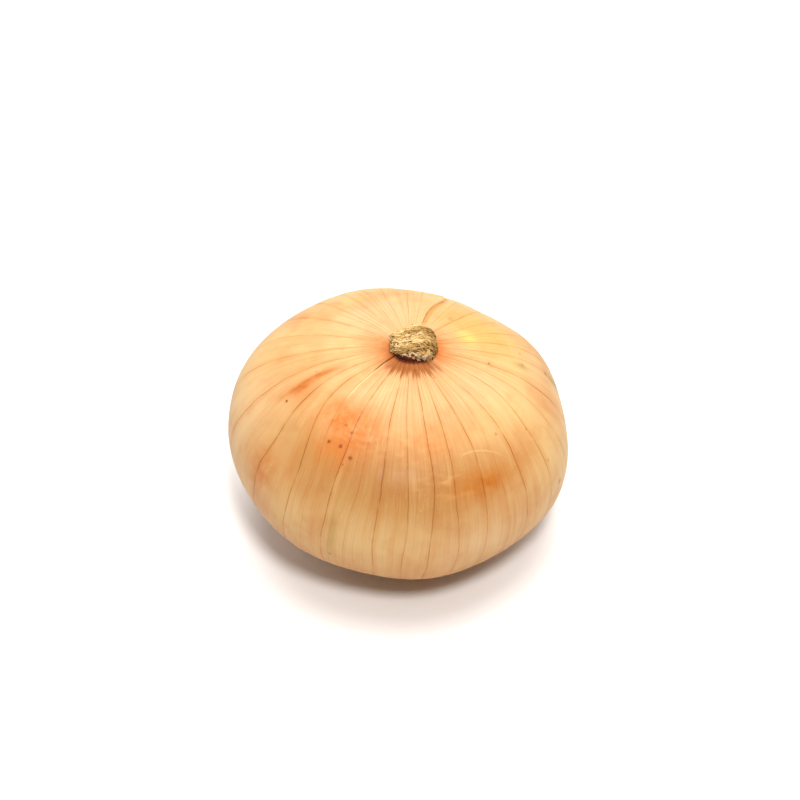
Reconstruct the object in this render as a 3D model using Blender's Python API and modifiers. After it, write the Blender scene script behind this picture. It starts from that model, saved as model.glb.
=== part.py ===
"""Squat brown onion, built as the one solid that it grew as.

The bulb is a squat round with soft ridges running from root to neck.  The dried neck stub
stands on top of it and the trimmed root plate lies under it, and all three are one body.

Frame: the origin is on the resting surface under the middle of the bulb.  +Z runs up from the
roots to the neck, -Y is the front, and the neck leans towards +X.  Lengths are in metres, and
an azimuth is counted from the front towards +X.
"""

import math

import bmesh
import bpy
from mathutils import Matrix, Vector

MM = 0.001

# Bulb
BULB_DIAMETER = 90.0 * MM
UPPER_RISE = 28.8 * MM            # from the widest girth up to the neck, along the bulb's axis
LOWER_DROP = 28.8 * MM            # from the widest girth down to the roots
UPPER_FULLNESS = 2.2              # 2 is an ellipse, and more is a squarer shoulder
LOWER_FULLNESS = 2.05
LEAN = math.radians(6.2)          # the whole bulb tips towards +X
ROOT_RETURN = 5.5 * MM            # the root end comes back under the bulb's middle by this much

# Soft ridges from root to neck: azimuth in degrees and height
RIDGES = (
    (10.0, 0.8 * MM),
    (71.0, 1.2 * MM),
    (123.0, 1.6 * MM),
    (195.0, 1.3 * MM),
    (250.0, 0.3 * MM),
    (322.0, 1.1 * MM),
)
RIDGE_WIDTH = 18.0                # degrees from a ridge's crest to its foot

# The skins are drawn up in a low collar round the neck
COLLAR_RISE = 1.3 * MM
COLLAR_RADIUS = 9.5 * MM

# Dried neck stub, an oval tuft that bends over towards the front and -X
NECK_WIDTH = 12.6 * MM
NECK_DEPTH = 8.4 * MM
NECK_HEIGHT = 5.6 * MM            # above the collar
NECK_ROOT = 4.0 * MM              # sunk into the bulb
NECK_BEND = Vector((-1.0 * MM, -0.8 * MM, 0.0))
NECK_FULLNESS = 2.8

# Trimmed root plate, whose underside is the flat spot that the onion rests on
PLATE_DIAMETER = 17.0 * MM
PLATE_EDGE = 0.7 * MM
PLATE_DROP = 1.1 * MM             # how far the plate stands out below the bulb
PLATE_THICKNESS = 5.0 * MM

# Cages, in segments round and rings from pole to pole
BULB_SEGMENTS = 40
BULB_RINGS = 20
NECK_SEGMENTS = 16
NECK_RINGS = 10
PLATE_SEGMENTS = 48

SKIN_COLOUR = (0.78, 0.47, 0.19, 1.0)
SKIN_ROUGHNESS = 0.4


def clear_scene():
    """Remove every object that the file opened with."""
    for old in list(bpy.data.objects):
        bpy.data.objects.remove(old, do_unlink=True)


def make_collection(name):
    collection = bpy.data.collections.new(name)
    bpy.context.scene.collection.children.link(collection)
    return collection


def make_material(name, colour, roughness):
    material = bpy.data.materials.new(name)
    material.use_nodes = True
    shader = material.node_tree.nodes["Principled BSDF"]
    shader.inputs["Base Color"].default_value = colour
    shader.inputs["Roughness"].default_value = roughness
    shader.inputs["Metallic"].default_value = 0.0
    return material


def mesh_object(name, bm, collection):
    """Turn a bmesh into a smooth-shaded object in the collection."""
    bmesh.ops.recalc_face_normals(bm, faces=bm.faces)
    mesh = bpy.data.meshes.new(name)
    bm.to_mesh(mesh)
    bm.free()
    mesh.shade_smooth()
    obj = bpy.data.objects.new(name, mesh)
    collection.objects.link(obj)
    return obj


def subdivide(obj, levels):
    modifier = obj.modifiers.new("Smooth", "SUBSURF")
    modifier.levels = levels
    modifier.render_levels = levels


def evaluated_box(obj):
    """Lowest and highest corners of the object as its modifiers leave it."""
    bpy.context.view_layer.update()
    evaluated = obj.evaluated_get(bpy.context.evaluated_depsgraph_get())
    mesh = evaluated.to_mesh()
    points = [obj.matrix_world @ vertex.co for vertex in mesh.vertices]
    low = Vector([min(point[axis] for point in points) for axis in range(3)])
    high = Vector([max(point[axis] for point in points) for axis in range(3)])
    evaluated.to_mesh_clear()
    return low, high


def superellipse(angle, half_width, half_height, fullness):
    """Radius and height of a superellipse at an angle up from its widest girth."""
    power = 2.0 / fullness
    radius = half_width * abs(math.cos(angle)) ** power
    height = half_height * math.copysign(abs(math.sin(angle)) ** power, math.sin(angle))
    return radius, height


def ridge_height(azimuth):
    """How far the soft ridges stand out at an azimuth, in degrees."""
    total = 0.0
    for crest, height in RIDGES:
        away = (azimuth - crest + 180.0) % 360.0 - 180.0
        total += height * math.exp(-((away / RIDGE_WIDTH) ** 2))
    return total


def bulb_point(direction):
    """The bulb's surface in a direction from its middle, standing straight."""
    azimuth = math.atan2(direction.x, -direction.y)
    latitude = math.asin(max(-1.0, min(1.0, direction.z)))
    if latitude > 0.0:
        radius, height = superellipse(latitude, BULB_DIAMETER / 2, UPPER_RISE, UPPER_FULLNESS)
    else:
        radius, height = superellipse(latitude, BULB_DIAMETER / 2, LOWER_DROP, LOWER_FULLNESS)
    height += COLLAR_RISE * math.exp(-((radius / COLLAR_RADIUS) ** 2)) * (latitude > 0.0)
    radius += ridge_height(math.degrees(azimuth)) * math.cos(latitude)
    sink = max(0.0, -height / LOWER_DROP)
    return Vector((
        radius * math.sin(azimuth) + ROOT_RETURN * sink ** 3,
        -radius * math.cos(azimuth),
        height,
    ))


def make_bulb(collection, lean):
    """The squat bulb: a round cage put in shape, smoothed and brought to its real diameter."""
    bm = bmesh.new()
    bmesh.ops.create_uvsphere(bm, u_segments=BULB_SEGMENTS, v_segments=BULB_RINGS, radius=1.0)
    for vertex in bm.verts:
        vertex.co = lean @ bulb_point(vertex.co.normalized())
    bulb = mesh_object("onion", bm, collection)
    subdivide(bulb, 1)
    low, high = evaluated_box(bulb)
    bulb.data.transform(Matrix.Scale(BULB_DIAMETER / (high.x - low.x), 4))
    return bulb


def make_neck(collection, foot, lean):
    """The dried neck: an oval stub that leans with the bulb and bends over at its top."""
    bm = bmesh.new()
    bmesh.ops.create_uvsphere(bm, u_segments=NECK_SEGMENTS, v_segments=NECK_RINGS, radius=1.0)
    half_length = (NECK_HEIGHT + NECK_ROOT) / 2
    for vertex in bm.verts:
        direction = vertex.co.normalized()
        azimuth = math.atan2(direction.y, direction.x)
        radius, height = superellipse(math.asin(max(-1.0, min(1.0, direction.z))), 1.0,
                                      half_length, NECK_FULLNESS)
        rise = max(0.0, height / half_length)
        point = Vector((
            radius * math.cos(azimuth) * NECK_WIDTH / 2,
            radius * math.sin(azimuth) * NECK_DEPTH / 2,
            height + half_length - NECK_ROOT,
        ))
        vertex.co = foot + lean @ (point + NECK_BEND * rise ** 2)
    neck = mesh_object("neck_stub", bm, collection)
    subdivide(neck, 1)
    return neck


def make_root_plate(collection, middle, underside):
    """The trimmed root plate: a low disc, level with the surface that it stands on."""
    bm = bmesh.new()
    bmesh.ops.create_cone(
        bm, cap_ends=True, segments=PLATE_SEGMENTS, depth=PLATE_THICKNESS,
        radius1=PLATE_DIAMETER / 2, radius2=PLATE_DIAMETER / 2,
        matrix=Matrix.Translation((middle.x, middle.y, underside + PLATE_THICKNESS / 2)),
    )
    plate = mesh_object("root_plate", bm, collection)
    bevel = plate.modifiers.new("Worn edge", "BEVEL")
    bevel.width = PLATE_EDGE
    bevel.segments = 3
    bevel.limit_method = "ANGLE"
    return plate


def join_to(body, piece):
    """Grow a piece onto the body, and leave the piece itself as a guide."""
    union = body.modifiers.new("Join " + piece.name, "BOOLEAN")
    union.operation = "UNION"
    union.solver = "EXACT"
    union.object = piece
    piece.hide_render = True
    piece.display_type = "WIRE"


def stand_on_origin(body, pieces):
    """Move the onion so that the origin is under its middle, on the surface it rests on."""
    low, high = evaluated_box(body)
    shift = Matrix.Translation((-(low.x + high.x) / 2, -(low.y + high.y) / 2, -low.z))
    for obj in [body] + pieces:
        obj.data.transform(shift)


clear_scene()
onion_collection = make_collection("onion")
joined_collection = make_collection("onion_joined_pieces")

lean_turn = Matrix.Rotation(LEAN, 3, "Y")
onion = make_bulb(onion_collection, lean_turn)
onion.data.materials.append(make_material("onion_skin", SKIN_COLOUR, SKIN_ROUGHNESS))

neck_foot = lean_turn @ Vector((0.0, 0.0, UPPER_RISE + COLLAR_RISE))
root_end = lean_turn @ Vector((ROOT_RETURN, 0.0, -LOWER_DROP))
neck_stub = make_neck(joined_collection, neck_foot, lean_turn)
bulb_low, bulb_high = evaluated_box(onion)
root_plate = make_root_plate(joined_collection, root_end, bulb_low.z - PLATE_DROP)

join_to(onion, neck_stub)
join_to(onion, root_plate)
stand_on_origin(onion, [neck_stub, root_plate])
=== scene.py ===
"""A squat brown onion: papery skin, dried neck tuft, root plate and roots, on a pale table.

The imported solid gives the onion's size and place.  The bulb's frame is its own: it stands
straight, its azimuth is counted from the front (-Y) towards +X, and its latitude runs from the
girth (0) up to the neck (90) and down to the roots (-90).  Lengths are in metres.
"""

import math

import bmesh
import bpy
import numpy as np
from mathutils import Matrix, Vector


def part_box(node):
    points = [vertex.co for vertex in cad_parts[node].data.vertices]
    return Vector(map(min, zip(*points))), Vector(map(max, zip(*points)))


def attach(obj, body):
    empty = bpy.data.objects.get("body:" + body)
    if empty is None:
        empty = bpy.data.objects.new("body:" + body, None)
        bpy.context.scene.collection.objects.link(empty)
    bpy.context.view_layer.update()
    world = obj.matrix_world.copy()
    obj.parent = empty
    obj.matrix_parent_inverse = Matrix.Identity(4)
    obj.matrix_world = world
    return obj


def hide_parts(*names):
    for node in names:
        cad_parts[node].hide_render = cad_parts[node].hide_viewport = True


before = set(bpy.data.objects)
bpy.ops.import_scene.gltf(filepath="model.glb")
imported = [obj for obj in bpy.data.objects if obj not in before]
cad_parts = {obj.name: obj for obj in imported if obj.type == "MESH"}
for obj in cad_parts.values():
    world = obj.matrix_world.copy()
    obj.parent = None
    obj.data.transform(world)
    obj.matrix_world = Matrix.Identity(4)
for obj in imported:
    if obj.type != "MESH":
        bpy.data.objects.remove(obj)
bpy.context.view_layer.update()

MM = 0.001


# ------------------------------------------------------------
# Skin.  The outermost dry scales of the bulb: thin golden paper over pale flesh, with a
# red-brown vein every centimetre or so from neck to root.  They grew round the bulb, so they
# are one closed surface, pleated where they gather at the neck and torn in two places.
# ------------------------------------------------------------

ONION_LOW, ONION_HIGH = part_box("onion")
GIRTH = ONION_HIGH.x - ONION_LOW.x
HALF_GIRTH = GIRTH / 2
HALF_HEIGHT = 0.640 * HALF_GIRTH   # from the girth up to the neck, and down to the roots
UPPER_FULLNESS = 2.2
LOWER_FULLNESS = 2.05
LEAN = math.radians(6.2)
ROOT_RETURN = 5.5 * MM
PLATE_DROP = 1.1 * MM              # the root plate stands out this far below the skin

# Soft ridges of the bulb: azimuth in degrees and height
RIDGES = (
    (10, 0.8 * MM), (71, 1.2 * MM), (123, 1.6 * MM),
    (195, 1.3 * MM), (250, 0.3 * MM), (322, 1.1 * MM),
)
RIDGE_WIDTH = 18

# Veins: azimuth at the girth and at the neck, in degrees, and how dark each is
VEINS = (
    (-180, -180, 0.55), (-168, -167, 0.40), (-160, -158, 0.60), (-151, -149, 0.50),
    (-141, -136, 0.60), (-124, -122, 0.50), (-108, -107, 0.50), (-93.5, -93, 0.50),
    (-77, -80, 0.60), (-55.5, -66, 0.85), (-39.5, -56, 0.90), (-33, -46, 0.25),
    (-25, -30, 0.90), (-17.5, -20, 0.30), (-8, -12, 0.80), (1.5, -1.5, 0.60),
    (10, 9, 0.95), (19, 19.5, 0.70), (30, 31, 0.65), (38.5, 42, 0.30),
    (46.5, 52, 0.75), (60, 70, 0.65), (74, 80.5, 0.45), (87, 90.5, 1.00),
    (103, 103, 0.40), (111.5, 113, 0.60), (123, 122, 0.60), (134, 131, 0.45),
    (146, 143, 0.75), (155, 153, 0.25), (163.5, 163.5, 0.35), (172, 172, 0.35),
)
TEAR_VEIN = 30                     # the vein along which the back skin has torn and lifted
SPLIT_VEIN = 11                    # the vein along which the skin split when the neck dried
COLUMNS_PER_VEIN = 12
COLUMN_CROWDING = 0.105            # draws the columns of the mesh in towards the veins

NECK_LATITUDE = 84.2               # where the skin ends in a rim round the neck
SHOULDER_LATITUDE = 46
LOWEST_LATITUDE = -88.6
RIM_RADIUS = 5.6 * MM
RIM_LIP = 0.22 * MM
RIM_WELL = 2.6 * MM                # the rim turns down inside by this much
COLLAR_RISE = 1.3 * MM
COLLAR_RADIUS = 9.5 * MM
BELLY_ROWS = 128
SHOULDER_ROWS = 96
RIM_ROWS = 12

VEIN_GROOVE = 0.028 * MM
SWELL_BETWEEN = 0.05 * MM          # how far the paper swells between two veins
NECK_PLEAT = 0.06 * MM
ROOT_PLEAT = 0.07 * MM
DENT = 0.05 * MM                   # broad shallow waves all over the bulb
TEAR_LIFT = 0.42 * MM
TEAR_SINK = 0.18 * MM              # of the skin under the lifted edge
CREASE = 0.16 * MM
BULGE = 0.30 * MM
SPLIT_GROOVE = 0.60 * MM
SPLIT_LIP = 0.26 * MM


def smooth_step(value, start, end):
    """0 before start, 1 after end, and a smooth curve between; start may be the higher one."""
    along = np.clip((value - start) / (end - start), 0, 1)
    return along * along * (3 - 2 * along)


def bell(value, middle, width):
    return np.exp(-(((value - middle) / width) ** 2))


def turn_between(azimuth, middle):
    """Degrees from middle round to azimuth, between -180 and 180."""
    return (azimuth - middle + 180) % 360 - 180


def slow_wander(position, seed, reach, waves):
    """A smooth random line of about the given reach, with up to so many waves over 0..1."""
    draw = np.random.default_rng(seed)
    line = np.zeros_like(position)
    for wave in range(1, waves + 1):
        line += draw.normal() / wave * np.sin(math.tau * (wave * position + draw.random()))
    return line * reach


def row_latitudes():
    """Latitudes of the skin's rows: even over the belly, closer together over the shoulder."""
    belly = np.linspace(LOWEST_LATITUDE, SHOULDER_LATITUDE, BELLY_ROWS, endpoint=False)
    return np.concatenate([belly, np.linspace(SHOULDER_LATITUDE, NECK_LATITUDE, SHOULDER_ROWS)])


def column_phases():
    """Vein counts of the skin's columns: whole numbers lie on veins, and columns crowd there."""
    even = np.arange(len(VEINS) * COLUMNS_PER_VEIN) / COLUMNS_PER_VEIN
    return even - COLUMN_CROWDING * np.sin(math.tau * even)


def vein_azimuths(latitude):
    """Azimuth of each vein at each latitude: rows by veins, ending with the first vein again."""
    towards_neck = smooth_step(latitude, 25, 76)
    lines = []
    for number, (at_girth, at_neck, _) in enumerate(VEINS):
        line = at_girth + (at_neck - at_girth) * towards_neck
        lines.append(line + slow_wander((latitude + 90) / 180, 40 + number, 0.55, 7))
    lines[SPLIT_VEIN] += -4.5 * smooth_step(latitude, 72, 84)
    lines[TEAR_VEIN] += -3 * bell(latitude, 52, 9) + 1.2 * bell(latitude, 70, 7)
    lines.append(lines[0] + 360)
    return np.stack(lines, axis=1)


def ridge_height(azimuth):
    return sum(height * bell(turn_between(azimuth, crest), 0, RIDGE_WIDTH) for crest, height in RIDGES)


def round_axis(radius, turn, height):
    """Points at a distance from the Z axis, turned round it from the front, and at a height."""
    return np.stack(np.broadcast_arrays(radius * np.sin(turn), -radius * np.cos(turn), height), axis=-1)


def bulb_form(azimuth, latitude):
    """The bulb's surface without its fine relief, standing straight round the Z axis."""
    upper = latitude > 0
    angle = np.radians(latitude)
    power = np.where(upper, 2 / UPPER_FULLNESS, 2 / LOWER_FULLNESS)
    radius = HALF_GIRTH * np.abs(np.cos(angle)) ** power
    height = HALF_HEIGHT * np.sign(angle) * np.abs(np.sin(angle)) ** power
    height = height + COLLAR_RISE * bell(radius, 0, COLLAR_RADIUS) * upper
    radius = radius + ridge_height(azimuth) * np.cos(angle)
    points = round_axis(radius, np.radians(azimuth), height)
    points[..., 0] += ROOT_RETURN * np.clip(-height / HALF_HEIGHT, 0, 1) ** 3
    return points


def surface_normals(points):
    """Outward normals of a grid of points, rows from root to neck and columns round."""
    around = np.roll(points, -1, axis=1) - np.roll(points, 1, axis=1)
    normals = np.cross(around, np.gradient(points, axis=0))
    return normals / np.maximum(np.linalg.norm(normals, axis=-1, keepdims=True), 1e-12)


class Skin:
    """The skin's grid and everything that is worked out on it, rows from root to neck."""

    latitudes = row_latitudes()
    phases = column_phases()
    veins = vein_azimuths(latitudes)
    before = np.floor(phases).astype(int)
    part = phases - before
    azimuth = veins[:, before] * (1 - part) + veins[:, before + 1] * part
    latitude = np.repeat(latitudes[:, None], len(phases), axis=1)
    form = bulb_form(azimuth, latitude)
    normal = surface_normals(form)
    phase = np.repeat(phases[None, :], len(latitudes), axis=0)
    from_axis = np.hypot(form[..., 0], form[..., 1])


def vein_gap():
    """Distance between one vein and the next at each grid point, in metres."""
    gaps = np.diff(Skin.veins, axis=1)
    middles = 0.5 * (gaps + np.roll(gaps, 1, axis=1))
    left = middles[:, Skin.before]
    right = middles[:, (Skin.before + 1) % len(VEINS)]
    part = Skin.part
    swell = 4 * part * (1 - part)
    degrees = (left * (1 - part) + right * part) * (1 - swell) + gaps[:, Skin.before] * swell
    return np.radians(degrees) * np.maximum(Skin.from_axis, 0.2 * MM)


SKIN_GAP = vein_gap()


def side_of(vein):
    """Distance of each grid point past a vein, in metres, the short way round."""
    return ((Skin.phase - vein + len(VEINS) / 2) % len(VEINS) - len(VEINS) / 2) * SKIN_GAP


TEAR_SIDE = side_of(TEAR_VEIN)
SPLIT_SIDE = side_of(SPLIT_VEIN)
LATITUDE = Skin.latitude
AZIMUTH = Skin.azimuth

# How far along the tear each row is: 0 off it, 1 on it
TEAR_REACH = smooth_step(LATITUDE, 33, 44) * smooth_step(LATITUDE, 79, 75)


def vein_strength():
    """How dark the nearest vein is at each grid point."""
    strengths = np.array([vein[2] for vein in VEINS])
    strengths[TEAR_VEIN] = 0.35
    nearest = np.round(Skin.phases).astype(int) % len(VEINS)
    fading = 1 - 0.30 * smooth_step(LATITUDE, 45, 5) - 0.45 * smooth_step(LATITUDE, 70, 78)
    behind = 1 - 0.30 * smooth_step(np.abs(AZIMUTH), 105, 140) * smooth_step(LATITUDE, 30, 50)
    return strengths[nearest][None, :] * fading * behind


def skin_relief():
    """Height of the fine relief over the bulb's form, in metres."""
    to_vein = np.abs(Skin.phase - np.round(Skin.phase)) * SKIN_GAP
    near_neck = smooth_step(LATITUDE, 66, 83)
    relief = -VEIN_GROOVE * vein_strength() * bell(to_vein, 0, 0.35 * MM)
    relief += SWELL_BETWEEN * np.sin(math.pi * Skin.part) * (1 - near_neck)

    pleats = np.cos(math.tau * Skin.phase) + 0.7 * np.cos(math.tau * (2 * Skin.phase + 0.2))
    pleats += 0.5 * np.cos(math.tau * 3 * Skin.phase + 1.7 * np.sin(Skin.phase))
    near_roots = smooth_step(LATITUDE, -62, -80) * smooth_step(LATITUDE, LOWEST_LATITUDE, -84)
    relief -= pleats * (NECK_PLEAT * near_neck ** 2 + ROOT_PLEAT * near_roots)

    draw = np.random.default_rng(7)
    for _ in range(9):
        turns = draw.integers(2, 9)
        climb = draw.uniform(1, 4)
        swell = np.sin(turns * np.radians(AZIMUTH) + climb * np.radians(LATITUDE) + draw.uniform(0, 6))
        relief += draw.normal() * DENT * swell * np.cos(np.radians(LATITUDE)) ** 0.5

    lifted = np.exp(-np.maximum(TEAR_SIDE, 0) / (5 * MM)) * (TEAR_SIDE > 0.02 * MM)
    sunk = np.exp(-np.maximum(-TEAR_SIDE, 0) / (1.3 * MM)) * (TEAR_SIDE <= 0.02 * MM)
    relief += TEAR_REACH * (TEAR_LIFT * lifted - TEAR_SINK * sunk)
    relief -= CREASE * bell(side_of(TEAR_VEIN - 2), 0, 0.8 * MM) * smooth_step(LATITUDE, 42, 60)
    relief += BULGE * bell(side_of(TEAR_VEIN - 1.1), 0, 3 * MM) * smooth_step(LATITUDE, 20, 50)
    relief -= SPLIT_GROOVE * bell(SPLIT_SIDE, 0, 0.20 * MM) * smooth_step(LATITUDE, 74, 79)
    lip = bell(SPLIT_SIDE, 0.45 * MM, 0.4 * MM) * smooth_step(LATITUDE, 62, 68)
    return relief + SPLIT_LIP * lip * smooth_step(LATITUDE, 83, 79)


def rim_pull(azimuth):
    """Share by which the rim is drawn in under the tuft: most on the left, a little at the back."""
    left = smooth_step(np.abs(turn_between(azimuth, -112)), 78, 25)
    back = smooth_step(np.abs(turn_between(azimuth, 180)), 75, 20)
    return 0.17 * left + 0.09 * back


def rim_rows(last_row, middle):
    """Rows that carry the skin over its rim and down inside, under the neck."""
    along = np.arange(1, RIM_ROWS + 1)[:, None, None] / RIM_ROWS
    rows = last_row + (middle - last_row) * (0.42 * smooth_step(along, 0.15, 1))
    lip = RIM_LIP * np.sin(math.pi * np.minimum(1, along * 2.2)) * (along < 0.45)
    rows[..., 2:] += lip - RIM_WELL * smooth_step(along, 0.3, 0.8)
    return rows


def leaned(points):
    return points @ np.array(Matrix.Rotation(LEAN, 3, "Y")).T


leaned_form = leaned(Skin.form).reshape(-1, 3)
form_low, form_high = leaned_form.min(axis=0), leaned_form.max(axis=0)
BULB_SCALE = GIRTH / (form_high[0] - form_low[0])
BULB_SHIFT = -(form_low + form_high) / 2 * BULB_SCALE
BULB_SHIFT[2] = PLATE_DROP - form_low[2] * BULB_SCALE


def lean_and_place(points):
    """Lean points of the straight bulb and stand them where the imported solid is."""
    return leaned(points) * BULB_SCALE + BULB_SHIFT


def show(name, data):
    """A new object in the scene, made from a mesh, a light or a camera."""
    piece = bpy.data.objects.new(name, data)
    bpy.context.scene.collection.objects.link(piece)
    return piece


def ring_mesh(name, rows):
    """A closed surface from rings of points, first to last, with a point at each end."""
    ring_count, per_ring, _ = rows.shape
    points = np.concatenate([rows.reshape(-1, 3), [rows[0].mean(axis=0), rows[-1].mean(axis=0)]])
    column = np.arange(per_ring)
    beside = (column + 1) % per_ring
    top = (ring_count - 1) * per_ring
    faces = []
    for low in range(0, top, per_ring):
        high = low + per_ring
        faces += np.stack([low + column, low + beside, high + beside, high + column], axis=1).tolist()
    ends = np.repeat([[len(points) - 2], [len(points) - 1]], per_ring, axis=1)
    faces += np.stack([ends[0], beside, column], axis=1).tolist()
    faces += np.stack([top + column, top + beside, ends[1]], axis=1).tolist()
    mesh = bpy.data.meshes.new(name)
    mesh.from_pydata(points.tolist(), [], faces)
    mesh.shade_smooth()
    return mesh


def add_vein_map(mesh, rows):
    """A UV map for the ring mesh of the skin: veins counted across, and centimetres along."""
    ring_count, per_ring, _ = rows.shape
    steps = np.linalg.norm(np.diff(rows[:, 0], axis=0), axis=1)
    along = np.concatenate([[0], np.cumsum(steps)]) * 100
    left = Skin.phases
    right = np.append(Skin.phases[1:], float(len(VEINS)))
    middle = (left + right) / 2
    square = np.stack([left, right, right, left], axis=1).reshape(-1)
    across = np.concatenate([
        np.tile(square, ring_count - 1),
        np.stack([middle, right, left], axis=1).reshape(-1),
        np.stack([left, right, middle], axis=1).reshape(-1),
    ])
    heights = np.stack([along[:-1], along[:-1], along[1:], along[1:]], axis=1)
    up = np.concatenate([
        np.repeat(heights, per_ring, axis=0).reshape(-1),
        np.repeat([along[0], along[-1]], 3 * per_ring),
    ])
    corners = np.stack([across, up], axis=1).reshape(-1)
    mesh.uv_layers.new(name="vein_map").data.foreach_set("uv", corners.astype(np.float32))


def store(mesh, name, values):
    """Keep a number for each point of a mesh."""
    layer = mesh.attributes.new(name, "FLOAT", "POINT")
    layer.data.foreach_set("value", values.reshape(-1).astype(np.float32))


def store_rings(mesh, name, grid):
    """Keep a number for each point of a ring mesh; its end points take their ring's mean."""
    store(mesh, name, np.concatenate([grid.reshape(-1), [grid[0].mean(), grid[-1].mean()]]))


# Soft round patches: how strong, azimuth, latitude, half width and half height in degrees
PATCHES = {
    # Paler paper, partly painted sheen near the bulb's left and right edges
    "paler_paper_and_sheen": (
        (1, -76, 26, 12, 20), (0.8, 27, 2, 13, 10),
        (0.7, 98, 45, 9, 9), (0.8, 81, 8, 7, 13),
    ),
    "blush": (
        (0.85, -28, 51.5, 10.5, 10), (0.5, -38, 56, 8, 9),
        (0.45, -30, 40, 8, 6), (0.55, 12, 53, 9, 8),
        (0.8, -53, 13, 8, 13), (0.25, -95, 49, 11, 13),
    ),
    "scratch": (
        (1, 5, 26, 6, 8), (1, -17, 14, 6, 7),
        (0.8, -9, 51, 12, 3.2), (0.7, 19, 44, 8, 4),
        (0.5, -120, 20, 10, 10), (0.5, 170, 10, 9, 12),
    ),
    "rust": (
        (0.95, 32, 32, 8, 7), (0.5, 47, 32, 9, 8),
        (0.4, 21, 33, 9, 6), (0.25, 75, 28, 9, 14),
    ),
    "streak": (
        (1.1, -70.5, 60.5, 0.9, 6.5), (1, -68.5, 51, 1.3, 5.5),
        (0.45, -70.5, 43.5, 2.2, 5), (0.40, -63, 50, 4, 7),
    ),
    "thin": [(1, 125, 62, 16, 14)],
    # The glow is painted light, shining through the thin skin at the back beside the neck
    "glow": [(1, 120, 69.5, 3.2, 2.8)],
    "green": (
        (0.6, -22, 4, 1.2, 12), (1, 102, 27, 1.8, 6),
        (0.8, 98, 50, 1.5, 3.5), (0.7, 145.5, 67, 1, 0.8),
    ),
    "crinkle": ((0.8, -12, 51, 16, 7), (1, 15, 35, 11, 6)),
}


def patch(strength, azimuth, latitude, half_width, half_height):
    """A soft round patch on the bulb; its place and half sizes are in degrees."""
    across = turn_between(AZIMUTH, azimuth) * np.cos(np.radians(LATITUDE)) / half_width
    up = (LATITUDE - latitude) / half_height
    return strength * np.exp(-(across ** 2 + up ** 2))


def sector(middle, end, start):
    """1 round an azimuth, and 0 more than end degrees from it."""
    return smooth_step(np.abs(turn_between(AZIMUTH, middle)), end, start)


def band(side, start, end):
    """1 between two distances from a line, with soft edges."""
    edge = 0.18 * MM
    return smooth_step(side, start - edge, start + edge) * smooth_step(side, end + edge, end - edge)


def skin_masks():
    """What the skin's colours follow, by name: soft masks, and the veins' strength and gap in mm."""
    front = sector(5, 75, 20)
    left = sector(-80, 60, 20)
    ahead = sector(4, 62, 34)
    from_rim = np.maximum(Skin.from_axis - RIM_RADIUS, 0)
    ragged = 1 + 0.30 * np.sin(5.3 * Skin.phase) * np.sin(2.1 * Skin.phase + 1)
    ragged += 0.14 * np.sin(17 * Skin.phase + 2 * np.sin(3 * Skin.phase))
    around_belly = np.abs(turn_between(AZIMUTH, -8)) / 52
    belly_rise = np.where(LATITUDE > 38, (LATITUDE - 38) / 15.5, (38 - LATITUDE) / 22)
    neck_edge = smooth_step(LATITUDE, NECK_LATITUDE - 0.9, NECK_LATITUDE - 0.05)
    masks = {name: sum(patch(*place) for place in places) for name, places in PATCHES.items()}
    masks.update({
        "pale": smooth_step(LATITUDE, 52, 68) * (1 - 0.75 * left) * (1 - 0.5 * front),
        "low": smooth_step(LATITUDE, 6, -24),
        "belly": np.exp(-np.hypot(around_belly, belly_rise) ** 2.6 * 0.85),
        "fan": smooth_step(from_rim, 5 * MM * ragged, 3 * MM * ragged) * ahead,
        "stain": bell(from_rim, 0, 5.2 * MM) * np.clip(left + 0.45 * front + 0.2, 0, 1),
        "flush": bell(from_rim, 0, 6.8 * MM) * sector(95, 60, 15),
        "arc": smooth_step(AZIMUTH, 23, 27) * smooth_step(LATITUDE, 35, 38.5) * smooth_step(AZIMUTH, 46, 38),
        "tear": TEAR_REACH * band(-TEAR_SIDE, 0.05 * MM, 1.1 * MM),
        # Painted shade: a thin shadow line just under the lifted tear edge, the dark in the split's groove,
        # and the dark where the skin turns under at the rim, strongest at the front
        "shade": 0.4 * TEAR_REACH * band(-TEAR_SIDE, 0.02 * MM, 0.08 * MM)
        + smooth_step(LATITUDE, 75.5, 78.5) * band(-SPLIT_SIDE, -0.15 * MM, 0.15 * MM)
        + neck_edge * (0.25 + 0.75 * ahead),
        # Painted highlight along the split's raised lip
        "cream": smooth_step(LATITUDE, 60, 66) * smooth_step(LATITUDE, 81.5, 79.5)
        * band(SPLIT_SIDE, 0.10 * MM, 0.45 * MM),
        "root": smooth_step(LATITUDE, -50, -78),
        "gathers": 0.45 + 0.35 * smooth_step(LATITUDE, 58, 72) - 0.3 * smooth_step(LATITUDE, 76, 80),
        "vein_gap": SKIN_GAP * 1000,
        "vein_strength": vein_strength(),
    })
    return masks


def make_skin():
    surface = Skin.form + Skin.normal * skin_relief()[..., None]
    drawn_in = 1 - rim_pull(AZIMUTH) * smooth_step(LATITUDE, 76, NECK_LATITUDE)
    surface[..., :2] *= drawn_in[..., None]
    middle = np.array([0, 0, surface[-1, :, 2].mean()])
    rows = lean_and_place(np.concatenate([surface, rim_rows(surface[-1], middle)]))
    mesh = ring_mesh("bulb_skin", rows)
    add_vein_map(mesh, rows)
    for name, mask in skin_masks().items():
        store_rings(mesh, name, np.concatenate([mask, np.repeat(mask[-1:], RIM_ROWS, axis=0)]))
    return show("bulb_skin", mesh)


def feed(tree, value, socket):
    """Set a socket to a plain value, or link another node's output into it."""
    if isinstance(value, bpy.types.NodeSocket):
        tree.links.new(value, socket)
    else:
        socket.default_value = value


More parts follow.
